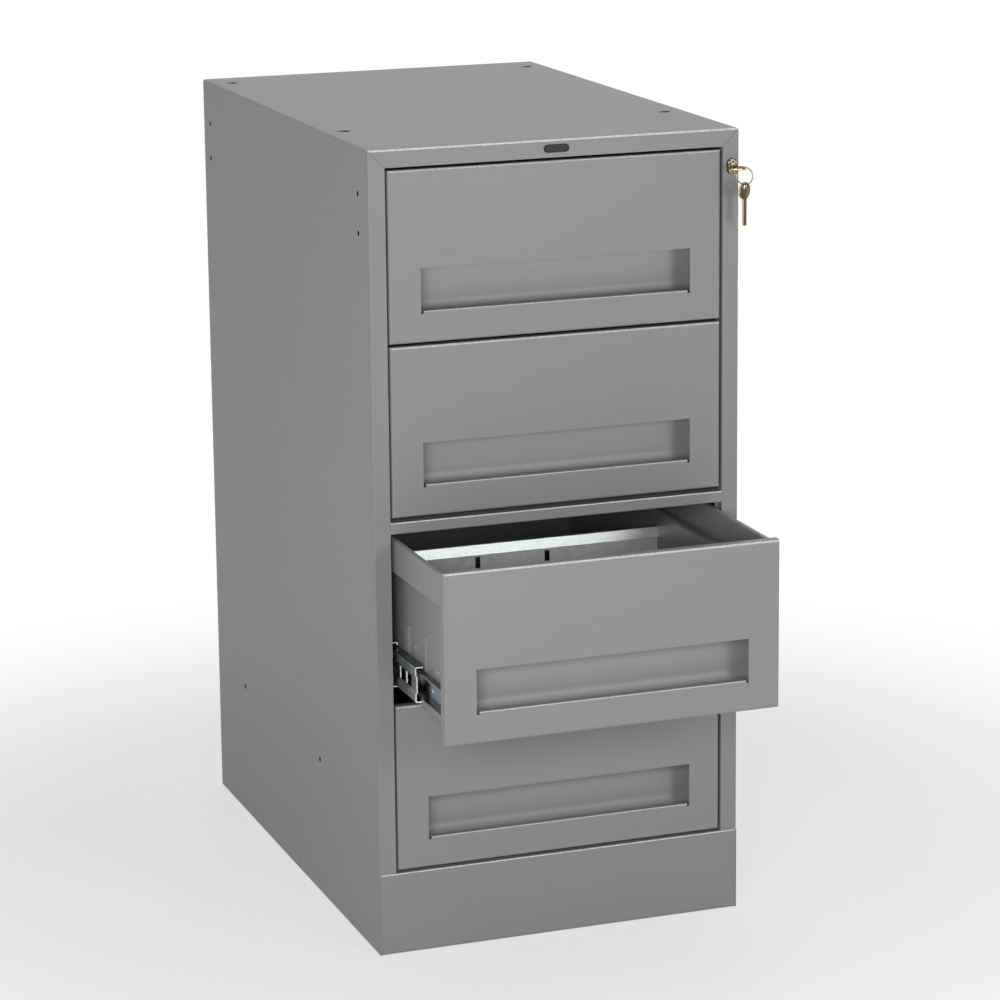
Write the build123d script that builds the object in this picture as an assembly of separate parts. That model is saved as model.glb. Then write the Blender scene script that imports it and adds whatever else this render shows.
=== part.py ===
from build123d import *
import math
import os

# Workbench drawer unit: a steel pedestal with four drawers on telescopic ball slides.
# Millimetres. X to the right, Y to the back, Z up. The origin is the middle of the
# footprint, at the floor. The third drawer stands open, as in the photograph.

# Cabinet
WIDTH = 381.0
DEPTH = 575.0
HEIGHT = 800.0
SHEET = 1.2
CORNER_RADIUS = 2.6
FLANGE_EDGE_RADIUS = 2.2
BEND_SHARE = 1.3
FLANGE_WIDTH = 17.4
FLANGE_RETURN = 10.0
MITRE_SEAM = 0.5
KICK_HEIGHT = 83.0
KICK_FLOOR_GAP = 2.0
KICK_RETURN = 16.0
SEAM = 0.2
RAIL_HEIGHT = 11.4
RAIL_DEPTH = 22.0
PANEL_RETURN = 14.0

# Holes
KEYHOLE_RADIUS = 4.5
KEYHOLE_SLOT_RADIUS = 2.5
KEYHOLE_THROW = 5.5
KEYHOLE_SPACING_X = 338.0
KEYHOLE_SPACING_Y = 398.0
KEYHOLE_SETBACK = 134.0
SIDE_HOLE_RADIUS = 2.75
SIDE_HOLE_SETBACK = 30.0
SIDE_HOLE_SPACING_Y = 521.0
SIDE_HOLE_TOP = 755.0
SIDE_HOLE_SPACING_Z = 38.0
LOW_HOLE_HEIGHT = 144.5
LOW_HOLE_SETBACK = 193.0
LOW_HOLE_SPACING = 275.0

# Drawers
DRAWER_COUNT = 4
UPPER_DRAWER_COUNT = 2
OPEN_DRAWER = 3
OPEN_TRAVEL = 146.0
DRAWER_GAP = 3.0
RAIL_TOP_GAP = 4.5
SIDE_GAP = 2.3
FRONT_DEPTH = 10.0
FRONT_RADIUS = 2.2
DRAWER_SHEET = 1.0
BOX_TAIL = 9.5
BOX_LIFT = 12.0
BOX_TOP_DROP = 3.0
UPPER_STRIP = 33.0
STRIP_CLEARANCE = 3.6
HEM_WIDTH = 5.5
HEM_RETURN = 9.0

# Pull recess in each drawer front
PULL_WIDTH = 277.4
PULL_HEIGHT = 41.6
PULL_LIFT = 30.6
PULL_DEPTH = 29.0
PULL_OVERLAP = 9.0
PULL_RADIUS = 14.0
PULL_FLANGE = 8.0
PULL_END_GAP = 0.4
LIP_RETURN = 8.0
LIP_RELIEF = 2.6

# Divider in the open drawer
DIVIDER_SETBACK = 280.0
DIVIDER_HEIGHT = 103.0
DIVIDER_HEM = 10.5
DIVIDER_HEM_TOP = 2.6
DIVIDER_HEM_LEAN = 3.5
DIVIDER_SLOT_PITCH = 75.0
DIVIDER_SLOT_PLACES = [-0.5, 0.5]
DIVIDER_SLOT_WIDTH = 5.5
DIVIDER_SLOT_DROP = 14.0
DIVIDER_SLOT_HEIGHT = 12.0
DIVIDER_CLEARANCE = 0.4

# Telescopic slides
SLIDE_WIDTH = 12.7
SLIDE_SETBACK = 12.5
SLIDE_BACK_ROOM = 54.5
SLIDE_LIFT = 36.5
SLIDE_SHEET = 1.2
OUTER_HEIGHT = 45.4
OUTER_DEPTH = 9.5
LIP_DEPTH = 3.0
BALL_RADIUS = 1.6
BALL_CLEARANCE = 0.3
CAGE_SHEET = 0.6
CAGE_GAP = 0.3
CAGE_END_GAP = 9.0
CAGE_BALLS = 6
RIB_DEPTH = 1.2
RIB_HEIGHT = 15.0
RIB_SLOPE = 1.6
WEB_SLOT_LENGTH = 15.0
WEB_SLOT_HEIGHT = 12.0
WEB_SLOT_SETBACKS = [15.0, 34.0]

# Uprights that carry the slides
UPRIGHT_WIDTH = 30.0
UPRIGHT_FOOT = 9.0
UPRIGHT_SHEET = 1.5
UPRIGHT_SETBACK = 60.0
UPRIGHT_END_GAP = 40.5
RIVET_RADIUS = 2.0
RIVET_HEAD_RADIUS = 3.8
RIVET_HEAD = 1.2
RIVET_CLEARANCE = 0.05

# Badge
BADGE_WIDTH = 26.0
BADGE_HEIGHT = 8.0
BADGE_THICKNESS = 1.0
BADGE_EDGE_RADIUS = 0.6

# Lock
LOCK_INSET = 8.0
LOCK_DROP = 37.3
LOCK_FACE_WIDTH = 10.6
LOCK_FACE_HEIGHT = 15.6
LOCK_FACE_PROUD = 2.2
BARREL_RADIUS = 5.0
BARREL_LENGTH = 22.0
PLUG_RADIUS = 3.7
PLUG_CLEARANCE = 0.05
PLUG_PROUD = 0.4
KEYWAY_CLEARANCE = 0.1
TAIL_WIDTH = 4.0
TAIL_PROUD = 0.6
CLIP_THICKNESS = 1.5
CLIP_HEIGHT = 18.0
CLIP_GAP = 0.8
CLIP_GROOVE = 0.5
CAM_THICKNESS = 2.0
CAM_RADIUS = 6.0
CAM_HUB_RADIUS = 4.2
CAM_ARM_EDGE = 1.0
CAM_PIN_RADIUS = 1.5
PIN_SLOT_CLEARANCE = 0.5
PIN_SLOT_RUN = 2.0
BAR_THICKNESS = 2.0
BAR_WIDTH = 11.0
BAR_GAP = 1.2
BAR_WALL_GAP = 1.8
BAR_HEAD = 8.0
BAR_TAIL = 80.0
HOOK_HEIGHT = 6.0
HOOK_REACH = 11.0
HOOK_DROP = 22.0
CATCH_GAP = 2.0
CATCH_THICKNESS = 1.5
CATCH_INSET = 1.0
GUIDE_HEIGHT = 14.0
GUIDE_LIFT = 20.0

# Keys
KEY_THICKNESS = 1.8
BOW_WIDTH = 20.0
BOW_HEIGHT = 17.0
NECK = 4.5
BLADE_WIDTH = 6.0
BLADE_LENGTH = 26.0
KEY_HOLE_RADIUS = 2.7
KEY_HOLE_EDGE = 1.6
KEY_CUTS = [1.4, 0.8, 1.8, 1.1, 1.6]
KEY_CUT_START = 2.0
KEY_CUT_PITCH = 3.6
KEY_TIP = 4.0
RING_RADIUS = 8.5
RING_WIRE = 0.7
HANG_GAP = 0.3
RING_SWING_OUT = 5.1
SPARE_KEY_TWIST = 9.0

# Places worked out from the sizes above
FRONT = -DEPTH / 2
BACK = DEPTH / 2
INNER_HALF = WIDTH / 2 - SHEET
OPENING_HALF = WIDTH / 2 - FLANGE_WIDTH
OPENING_TOP = HEIGHT - FLANGE_WIDTH
SHELF_GAPS = (DRAWER_COUNT + 1) * DRAWER_GAP + RAIL_TOP_GAP
FRONT_HEIGHT = (OPENING_TOP - KICK_HEIGHT - RAIL_HEIGHT - SHELF_GAPS) / DRAWER_COUNT
FRONT_HALF = OPENING_HALF - SIDE_GAP
BOX_HALF = OPENING_HALF - SLIDE_WIDTH
STRIP_HALF = OPENING_HALF - STRIP_CLEARANCE
SLIDE_START = FRONT + SLIDE_SETBACK
SLIDE_LENGTH = DEPTH - SLIDE_SETBACK - SLIDE_BACK_ROOM
BALL_U = OUTER_DEPTH / 2 + SLIDE_SHEET / 4
MIDDLE_U = SLIDE_SHEET + 2 * CAGE_GAP + CAGE_SHEET
INNER_CAGE_U = MIDDLE_U + RIB_DEPTH + SLIDE_SHEET + CAGE_GAP
BALL_ROOM = 2 * (BALL_RADIUS + BALL_CLEARANCE)
MIDDLE_HEIGHT = OUTER_HEIGHT - 2 * SLIDE_SHEET - 2 * BALL_ROOM
INNER_HEIGHT = MIDDLE_HEIGHT - 2 * SLIDE_SHEET - 2 * BALL_ROOM
UPRIGHT_PLACES = [UPRIGHT_SETBACK, SLIDE_SETBACK + SLIDE_LENGTH - UPRIGHT_END_GAP]
BOX_LENGTH = SLIDE_SETBACK + SLIDE_LENGTH + BOX_TAIL
CAGE_SETBACK = SLIDE_LENGTH / 4 + CAGE_END_GAP / 2
CAGE_LENGTH = SLIDE_LENGTH / 2 - 1.5 * CAGE_END_GAP
LOCK_X = WIDTH / 2 - LOCK_INSET
LOCK_Z = HEIGHT - LOCK_DROP
CAM_Y = FRONT + BARREL_LENGTH + CAGE_GAP
BAR_Y = CAM_Y + CAM_THICKNESS + BAR_GAP
BAR_RIGHT = INNER_HALF - BAR_WALL_GAP
CAM_SWING = math.radians(45)
BAR_TRAVEL = 2 * CAM_RADIUS * math.sin(CAM_SWING)


def drawer_bottom(number):
    """Height of the lower edge of a drawer front, drawers counted from the top."""
    drop = number * (FRONT_HEIGHT + DRAWER_GAP)
    if number > UPPER_DRAWER_COUNT:
        drop += RAIL_TOP_GAP + RAIL_HEIGHT
    return OPENING_TOP - drop


RAIL_TOP = drawer_bottom(UPPER_DRAWER_COUNT) - RAIL_TOP_GAP


def travel(number):
    """How far a drawer stands out of the cabinet in the rest position."""
    return OPEN_TRAVEL if number == OPEN_DRAWER else 0.0


def block(x, y, z):
    """Box between two limits along each axis."""
    size = [high - low for low, high in (x, y, z)]
    middle = [(high + low) / 2 for low, high in (x, y, z)]
    return Pos(*middle) * Box(*size)


def rod_x(x, y, z, radius):
    """Round bar along X between two limits."""
    place = Pos((x[0] + x[1]) / 2, y, z) * Rot(0, 90, 0)
    return place * Cylinder(radius, x[1] - x[0])


def rod_y(y, x, z, radius):
    """Round bar along Y between two limits."""
    place = Pos(x, (y[0] + y[1]) / 2, z) * Rot(90, 0, 0)
    return place * Cylinder(radius, y[1] - y[0])


def bent_section(corners, thickness, radius):
    """Flat section of a folded sheet: its outside follows the corners, its inside is on the left."""
    path = FilletPolyline(*corners, radius=radius)
    return make_face(offset(path, amount=thickness, side=Side.LEFT, closed=True))


def run_along_y(section, start, length):
    """Section drawn as X and Z, drawn out from start towards the back."""
    return Pos(0, start, 0) * extrude(Plane.XZ * section, amount=-length)


def run_up(section, bottom, height):
    """Section drawn as X and Y, drawn upwards from bottom."""
    return Pos(0, 0, bottom) * extrude(section, amount=height)


def both_sides(shape):
    """A right-hand piece and its left-hand twin, as two separate solids."""
    return [shape, mirror(shape, about=Plane.YZ)]


def save(name, shapes):
    """Write one node, which holds one solid or several separate ones."""
    solids = []
    for shape in shapes if isinstance(shapes, list) else [shapes]:
        solids.extend(shape.solids())
    body = solids[0] if len(solids) == 1 else Compound(children=solids)
    body.label = name
    export_step(body, f"parts/{name}.step")


def wrap():
    """Top and both sides folded from one sheet."""
    half = WIDTH / 2
    corners = [(half, 0), (half, HEIGHT), (-half, HEIGHT), (-half, 0)]
    return run_along_y(bent_section(corners, SHEET, CORNER_RADIUS), FRONT, DEPTH)


def front_flanges():
    """Header and side flanges with their returns, which frame the drawer opening."""
    outside = block((-WIDTH / 2, WIDTH / 2), (FRONT, FRONT + FLANGE_RETURN), (KICK_HEIGHT, HEIGHT))
    upright_corners = outside.edges().filter_by(Axis.Y).group_by(Axis.Z)[-1]
    outside = fillet(upright_corners, CORNER_RADIUS)
    rims = outside.faces().sort_by(Axis.Y)[0].edges()
    outside = fillet(rims.filter_by(lambda edge: edge.center().Z > KICK_HEIGHT + SHEET), FLANGE_EDGE_RADIUS)
    opening_low = KICK_HEIGHT - SHEET
    skin = (FRONT + SHEET, FRONT + FLANGE_RETURN)
    hollow = block((-INNER_HALF, INNER_HALF), skin, (opening_low, HEIGHT - SHEET))
    rim_half = OPENING_HALF + SHEET
    rim = block((-rim_half, rim_half), skin, (opening_low, OPENING_TOP + SHEET))
    opening = block((-OPENING_HALF, OPENING_HALF), (FRONT - 1, BACK), (opening_low, OPENING_TOP))
    return outside - (hollow - rim) - opening


def mitre_seams():
    """Narrow grooves where the header meets the side flanges."""
    seam = Box(FLANGE_WIDTH * math.sqrt(2), 2 * MITRE_SEAM, MITRE_SEAM)
    inwards = CORNER_RADIUS / 2
    place = Pos(WIDTH / 2 - FLANGE_WIDTH / 2 - inwards, FRONT, HEIGHT - FLANGE_WIDTH / 2 - inwards)
    return both_sides(place * Rot(0, -45, 0) * seam)


def keyhole(x, y):
    """Wide round end on the right, narrow slot to the left."""
    depth = 4 * SHEET
    wide = Pos(x, y, HEIGHT) * Cylinder(KEYHOLE_RADIUS, depth)
    narrow = Pos(x - KEYHOLE_THROW, y, HEIGHT) * Cylinder(KEYHOLE_SLOT_RADIUS, depth)
    middle = Pos(x - KEYHOLE_THROW / 2, y, HEIGHT)
    return wide + narrow + middle * Box(KEYHOLE_THROW, 2 * KEYHOLE_SLOT_RADIUS, depth)


def shell_holes():
    """Keyholes in the top and round holes in both sides."""
    holes = []
    for x in (-KEYHOLE_SPACING_X / 2, KEYHOLE_SPACING_X / 2):
        for y in (KEYHOLE_SETBACK, KEYHOLE_SETBACK + KEYHOLE_SPACING_Y):
            holes.append(keyhole(x, FRONT + y))
    places = [(LOW_HOLE_SETBACK, LOW_HOLE_HEIGHT), (LOW_HOLE_SETBACK + LOW_HOLE_SPACING, LOW_HOLE_HEIGHT)]
    for y in (SIDE_HOLE_SETBACK, SIDE_HOLE_SETBACK + SIDE_HOLE_SPACING_Y):
        for z in (SIDE_HOLE_TOP, SIDE_HOLE_TOP - SIDE_HOLE_SPACING_Z):
            places.append((y, z))
    for y, z in places:
        wall = (INNER_HALF - SHEET, WIDTH / 2 + SHEET)
        holes.extend(both_sides(rod_x(wall, FRONT + y, z, SIDE_HOLE_RADIUS)))
    return holes


def cabinet_shell():
    """Folded shell with its front flanges, holes and the hole for the lock."""
    lock_hole = rod_y((FRONT - 1, FRONT + 2 * SHEET), LOCK_X, LOCK_Z, BARREL_RADIUS)
    front_skin = block((-WIDTH, WIDTH), (FRONT - 1, FRONT + FLANGE_RETURN), (KICK_HEIGHT, HEIGHT + 1))
    shell = (wrap() - front_skin) + front_flanges()
    return shell - mitre_seams() - shell_holes() - lock_hole


def tray(x, y, z, thickness, open_side):
    """Box between limits, hollowed from one side: open_side is the axis index and direction."""
    inside = [[low + thickness, high - thickness] for low, high in (x, y, z)]
    axis, direction = open_side
    inside[axis][1 if direction > 0 else 0] += 4 * thickness * direction
    return block(x, y, z) - block(*inside)


def back_panel():
    """Rear sheet with returns turned forward inside the shell."""
    half = INNER_HALF
    panel = tray((-half, half), (BACK - PANEL_RETURN, BACK), (SHEET, HEIGHT - SHEET), SHEET, (1, -1))
    corners = panel.edges().filter_by(Axis.Y).group_by(Axis.Z)[-1]
    return fillet(corners, CORNER_RADIUS)


def base_pan():
    """Floor sheet with upturned edges, which the cabinet stands on."""
    ends = (FRONT + SHEET + SEAM, BACK - PANEL_RETURN - SEAM)
    pan = tray((-INNER_HALF, INNER_HALF), ends, (0, PANEL_RETURN), SHEET, (2, 1))
    return pan


def kick_plate():
    """Plate below the lowest drawer, with returns at its top and sides."""
    half = INNER_HALF - SEAM
    depth = (FRONT, FRONT + KICK_RETURN)
    plate = tray((-half, half), depth, (KICK_FLOOR_GAP, KICK_HEIGHT - SEAM), SHEET, (1, 1))
    pan_room = block((-WIDTH, WIDTH), (FRONT + SHEET, BACK), (0, PANEL_RETURN + SEAM))
    top_edge = plate.edges().filter_by(Axis.X).group_by(Axis.Y)[0].sort_by(Axis.Z)[-1]
    return fillet(top_edge, CORNER_RADIUS / 2) - pan_room


def middle_rail():
    """Channel across the opening, with ears that reach the side walls behind the flanges."""
    heights = (RAIL_TOP - RAIL_HEIGHT, RAIL_TOP)
    half = OPENING_HALF - SEAM
    rail = tray((-half, half), (FRONT, FRONT + RAIL_DEPTH), heights, SHEET, (1, 1))
    rail -= block((-half - 1, half + 1), (FRONT + SHEET, BACK), (heights[0] + SHEET, heights[1] - SHEET))
    rim = rail.edges().filter_by(Axis.X).group_by(Axis.Y)[0]
    rail = fillet(rim, CORNER_RADIUS / 2)
    behind = (FRONT + FLANGE_RETURN + SEAM, FRONT + RAIL_DEPTH)
    for level in (heights[0], heights[1] - SHEET):
        rail += block((-INNER_HALF, INNER_HALF), behind, (level, level + SHEET))
    return rail


def upright(side, place):
    """Hat channel from base to top that one row of slides is fixed to."""
    y = FRONT + place
    half = UPRIGHT_WIDTH / 2
    corners = [
        (INNER_HALF, y - half - UPRIGHT_FOOT),
        (INNER_HALF, y - half),
        (OPENING_HALF, y - half),
        (OPENING_HALF, y + half),
        (INNER_HALF, y + half),
        (INNER_HALF, y + half + UPRIGHT_FOOT),
    ]
    section = bent_section(corners[4:0:-1], UPRIGHT_SHEET, UPRIGHT_SHEET * BEND_SHARE)
    top = HEIGHT - SHEET - CORNER_RADIUS
    channel = run_up(section, SHEET, top - SHEET)
    for start, end in (corners[:2], corners[4:]):
        foot = (INNER_HALF - UPRIGHT_SHEET, INNER_HALF)
        channel += block(foot, (start[1], end[1]), (SHEET, top))
    pan_room = block((INNER_HALF - SHEET, INNER_HALF), (FRONT, BACK), (0, PANEL_RETURN))
    channel -= pan_room
    for number in range(1, DRAWER_COUNT + 1):
        wall = (OPENING_HALF - 1, OPENING_HALF + 2 * UPRIGHT_SHEET)
        channel -= rod_x(wall, y, drawer_bottom(number) + SLIDE_LIFT, RIVET_RADIUS)
    return channel if side == "right" else mirror(channel, about=Plane.YZ)


def slide_place(number):
    """Where the slide of one drawer sits: local X runs from the upright towards the drawer."""
    return Pos(OPENING_HALF, SLIDE_START, drawer_bottom(number) + SLIDE_LIFT)


def slide_run(upper_corners, length):
    """Slide member drawn along Y from its front end; its section is alike above and below."""
    lower_corners = [(x, -z) for x, z in upper_corners]
    corners = lower_corners + upper_corners[::-1]
    section = bent_section(corners, SLIDE_SHEET, SLIDE_SHEET * BEND_SHARE)
    return extrude(Plane.XZ * section, amount=-length)


def outer_member():
    """Cabinet member of a slide, open towards the drawer, its lips turned in."""
    half = OUTER_HEIGHT / 2
    upper = [(-OUTER_DEPTH, half - LIP_DEPTH), (-OUTER_DEPTH, half), (0, half)]
    return slide_run(upper, SLIDE_LENGTH)


def middle_member():
    """Middle member, with a rib pressed along its web and two slots near the front."""
    half = MIDDLE_HEIGHT / 2
    rib = RIB_HEIGHT / 2
    far = SLIDE_WIDTH - 2 * SLIDE_SHEET
    upper = [(-far, half), (-MIDDLE_U, half), (-MIDDLE_U, rib + RIB_SLOPE), (-MIDDLE_U - RIB_DEPTH, rib)]
    member = slide_run(upper, SLIDE_LENGTH)
    for setback in WEB_SLOT_SETBACKS:
        web = (-MIDDLE_U - RIB_DEPTH - 2 * SLIDE_SHEET, -MIDDLE_U)
        slot = (setback, setback + WEB_SLOT_LENGTH)
        member -= block(web, slot, (-WEB_SLOT_HEIGHT / 2, WEB_SLOT_HEIGHT / 2))
    return member


def inner_member():
    """Drawer member, whose web lies on the drawer's side wall."""
    near = INNER_CAGE_U + CAGE_SHEET + CAGE_GAP
    half = INNER_HEIGHT / 2
    lower = [(-near, -half), (-SLIDE_WIDTH, -half)]
    return slide_run(lower, SLIDE_LENGTH)


def ball_cage(web_u, leaf_far, leaf_z, ball_u):
    """Strip bent to a channel, with holes in both leaves, and the balls that sit in them."""
    half = leaf_z + CAGE_SHEET / 2
    corners = [(-leaf_far, -half), (-web_u, -half), (-web_u, half), (-leaf_far, half)]
    section = bent_section(corners, CAGE_SHEET, CAGE_SHEET * BEND_SHARE)
    cage = extrude(Plane.XZ * section, amount=-CAGE_LENGTH)
    pitch = CAGE_LENGTH / CAGE_BALLS
    balls = []
    for index in range(CAGE_BALLS):
        for level in (-leaf_z, leaf_z):
            place = Pos(-ball_u, (index + 0.5) * pitch, level)
            cage -= place * Cylinder(BALL_RADIUS + RIVET_CLEARANCE, 4 * CAGE_SHEET)
            balls.append(place * Sphere(BALL_RADIUS))
    return [cage] + balls


def outer_cage():
    """Cage that runs between the cabinet member and the middle member."""
    level = OUTER_HEIGHT / 2 - SLIDE_SHEET - BALL_ROOM / 2
    web = SLIDE_SHEET + CAGE_GAP
    return ball_cage(web, OUTER_DEPTH - SLIDE_SHEET - CAGE_GAP, level, BALL_U)


def inner_cage():
    """Cage that runs between the middle member and the drawer member."""
    level = MIDDLE_HEIGHT / 2 - SLIDE_SHEET - BALL_ROOM / 2
    far = SLIDE_WIDTH - 2 * SLIDE_SHEET
    return ball_cage(INNER_CAGE_U, far, level, (INNER_CAGE_U + SLIDE_WIDTH) / 2)


def slide_rivet(from_u, head_u, inwards):
    """Flush rivet through a slide's web, with its formed head on the hidden side."""
    shank = rod_x(sorted((-from_u, -head_u)), 0, 0, RIVET_RADIUS - RIVET_CLEARANCE)
    head_end = head_u + inwards * RIVET_HEAD
    return shank + rod_x(sorted((-head_u, -head_end)), 0, 0, RIVET_HEAD_RADIUS)


def rivet_holes(member):
    """Holes in a member where the rivets at the uprights pass its web."""
    for place in UPRIGHT_PLACES:
        y = place - SLIDE_SETBACK
        member -= rod_x((-SLIDE_WIDTH - 1, 1), y, 0, RIVET_RADIUS)
    return member


def cabinet_rivets():
    """Rivets that hold the cabinet members to the uprights."""
    rivets = []
    for number in range(1, DRAWER_COUNT + 1):
        for place in UPRIGHT_PLACES:
            shift = Pos(0, place - SLIDE_SETBACK, 0)
            rivet = slide_place(number) * shift * slide_rivet(SLIDE_SHEET, -UPRIGHT_SHEET, -1)
            rivets.extend(both_sides(rivet))
    return rivets


def drawer_rivets(number):
    """Rivets that hold the drawer members to the drawer's side walls."""
    rivets = []
    for place in UPRIGHT_PLACES:
        shift = Pos(0, place - SLIDE_SETBACK - travel(number), 0)
        web = SLIDE_WIDTH - SLIDE_SHEET
        rivet = slide_rivet(web, SLIDE_WIDTH + DRAWER_SHEET, 1)
        rivets.extend(both_sides(slide_place(number) * shift * rivet))
    return rivets


def place_slide(shape, number, share, setback=0.0):
    """Left and right copies of a slide piece, moved out by its share of the drawer's travel."""
    shapes = shape if isinstance(shape, list) else [shape]
    shift = Pos(0, setback - share * travel(number), 0)
    pieces = []
    for piece in shapes:
        pieces.extend(both_sides(slide_place(number) * shift * piece))
    return pieces


def drawer_front(number):
    """Folded front pan with the pull window, its turned-in lip and relief notches."""
    bottom = drawer_bottom(number)
    y = FRONT - travel(number)
    pan = block((-FRONT_HALF, FRONT_HALF), (y, y + FRONT_DEPTH), (bottom, bottom + FRONT_HEIGHT))
    pan = fillet(pan.faces().sort_by(Axis.Y)[0].edges(), FRONT_RADIUS)
    half = FRONT_HALF - SHEET
    levels = (bottom + SHEET, bottom + FRONT_HEIGHT - SHEET)
    pan -= block((-half, half), (y + SHEET, y + 2 * FRONT_DEPTH), levels)
    sill = bottom + PULL_LIFT
    window = PULL_WIDTH / 2
    depth = (y - 1, y + SHEET + 1)
    pan -= block((-window, window), depth, (sill - LIP_RELIEF, sill + PULL_HEIGHT))
    lip = window - LIP_RELIEF
    pan += block((-lip, lip), (y, y + LIP_RETURN), (sill - SHEET, sill))
    pan += block((-lip, lip), (y, y + SHEET), (sill - 2 * LIP_RELIEF, sill))
    lip_edge = pan.edges().filter_by(Axis.X).filter_by(
        lambda edge: abs(edge.center().Y - y) < 0.01 and abs(edge.center().Z - sill) < 0.01
    )
    return fillet(lip_edge, SHEET)


def drawer_pull(number):
    """Channel behind the window, its flanges welded to the front above and below it."""
    y = FRONT - travel(number) + SHEET
    sill = drawer_bottom(number) + PULL_LIFT
    half = BOX_HALF - DRAWER_SHEET - PULL_END_GAP
    levels = (sill - PULL_OVERLAP, sill + PULL_HEIGHT + PULL_OVERLAP)
    back = y + PULL_DEPTH
    channel = block((-half, half), (y, back), levels)
    back_edges = channel.edges().filter_by(Axis.X).group_by(Axis.Y)[-1]
    channel = fillet(back_edges, PULL_RADIUS)
    inside = (levels[0] + DRAWER_SHEET, levels[1] - DRAWER_SHEET)
    hollow = block((-half - 1, half + 1), (y, back - DRAWER_SHEET), inside)
    hollow_edges = hollow.edges().filter_by(Axis.X).group_by(Axis.Y)[-1]
    hollow = fillet(hollow_edges, PULL_RADIUS - DRAWER_SHEET)
    flange_levels = (levels[0] - PULL_FLANGE, levels[1] + PULL_FLANGE)
    flange = block((-half, half), (y, y + DRAWER_SHEET), flange_levels)
    return channel + flange - hollow


def box_side(number):
    """Right side wall: lower wall, ledge, upper strip and rounded hem with its return."""
    floor = drawer_bottom(number) + BOX_LIFT
    top = drawer_bottom(number) + FRONT_HEIGHT - BOX_TOP_DROP
    ledge = top - UPPER_STRIP
    inside = STRIP_HALF - HEM_WIDTH
    lower = [(BOX_HALF, floor), (BOX_HALF, ledge), (STRIP_HALF, ledge), (STRIP_HALF, top)]
    hem = [(inside, top), (inside, top - HEM_RETURN)]
    section = bent_section(lower + hem, DRAWER_SHEET, DRAWER_SHEET * BEND_SHARE)
    start = FRONT + SHEET - travel(number)
    return run_along_y(section, start, BOX_LENGTH - SHEET)


def lock_catch(number):
    """Bracket welded to the right side wall, which the lock bar's hook stands in front of."""
    y = BAR_Y + BAR_THICKNESS + CATCH_GAP - travel(number)
    level = hook_bottom(number) - BAR_TRAVEL
    reach = (BOX_HALF, STRIP_HALF - CATCH_INSET)
    return block(reach, (y, y + CATCH_THICKNESS), (level, level + HOOK_HEIGHT))


def drawer_box(number):
    """Stepped sides, floor and back of a drawer, open at the top, with the lock's catch."""
    bottom = drawer_bottom(number)
    floor = bottom + BOX_LIFT
    start = FRONT + SHEET - travel(number)
    end = FRONT + BOX_LENGTH - travel(number)
    top = bottom + FRONT_HEIGHT - BOX_TOP_DROP
    sides = both_sides(box_side(number))
    half = BOX_HALF
    pan = block((-half, half), (start, end), (floor, floor + DRAWER_SHEET))
    rear = (end - DRAWER_SHEET, end)
    pan += block((-half, half), rear, (floor, top - UPPER_STRIP))
    pan += block((-STRIP_HALF, STRIP_HALF), rear, (top - UPPER_STRIP, top))
    pan = pan + sides[0] + sides[1] + lock_catch(number)
    for place in UPRIGHT_PLACES:
        y = FRONT + place - travel(number)
        hole = rod_x((BOX_HALF - 3, BOX_HALF + 3), y, bottom + SLIDE_LIFT, RIVET_RADIUS)
        pan = pan - both_sides(hole)
    return pan


def drawer_divider():
    """Galvanised sheet with slots across the open drawer; its top edge leans forward and down."""
    number = OPEN_DRAWER
    base = drawer_bottom(number) + BOX_LIFT + DRAWER_SHEET
    y = FRONT - travel(number) + DIVIDER_SETBACK
    half = BOX_HALF - DRAWER_SHEET - DIVIDER_CLEARANCE
    wall = [(0, 0), (0, DIVIDER_HEIGHT), (-DIVIDER_HEM_TOP, DIVIDER_HEIGHT)]
    hem_end = (-DIVIDER_HEM_TOP - DIVIDER_HEM_LEAN, DIVIDER_HEIGHT - DIVIDER_HEM)
    section = bent_section(wall + [hem_end], DRAWER_SHEET, DRAWER_SHEET * BEND_SHARE)
    sheet = Pos(-half, y, base) * extrude(Plane.YZ * section, amount=2 * half)
    for index in DIVIDER_SLOT_PLACES:
        x = index * DIVIDER_SLOT_PITCH
        width = (x - DIVIDER_SLOT_WIDTH / 2, x + DIVIDER_SLOT_WIDTH / 2)
        high = base + DIVIDER_HEIGHT - DIVIDER_SLOT_DROP
        through = (y - 2 * DRAWER_SHEET, y + DRAWER_SHEET)
        sheet -= block(width, through, (high - DIVIDER_SLOT_HEIGHT, high))
    return sheet


def badge():
    """Blank oval badge on the header."""
    centre = HEIGHT - FLANGE_WIDTH / 2
    section = SlotOverall(BADGE_WIDTH, BADGE_HEIGHT)
    plate = Pos(0, FRONT, centre) * extrude(Plane.XZ * section, amount=BADGE_THICKNESS)
    return fillet(plate.faces().sort_by(Axis.Y)[0].edges(), BADGE_EDGE_RADIUS)


def lock_axis():
    """The lock's turning axis at the front plane."""
    return Pos(LOCK_X, FRONT, LOCK_Z)


def lock_housing():
    """Oval face with the barrel behind it, bored for the plug."""
    face = extrude(Plane.XZ * Rot(0, 0, 90) * SlotOverall(LOCK_FACE_HEIGHT, LOCK_FACE_WIDTH), LOCK_FACE_PROUD)
    face = fillet(face.faces().sort_by(Axis.Y)[0].edges(), LOCK_FACE_PROUD / 3)
    barrel = rod_y((0, BARREL_LENGTH), 0, 0, BARREL_RADIUS - RIVET_CLEARANCE)
    bore = rod_y((-BARREL_LENGTH, 2 * BARREL_LENGTH), 0, 0, PLUG_RADIUS + PLUG_CLEARANCE)
    groove = rod_y((SHEET, SHEET + CLIP_THICKNESS), 0, 0, BARREL_RADIUS)
    groove -= rod_y((0, BARREL_LENGTH), 0, 0, BARREL_RADIUS - CLIP_GROOVE)
    return lock_axis() * (face + barrel - bore - groove)


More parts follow.
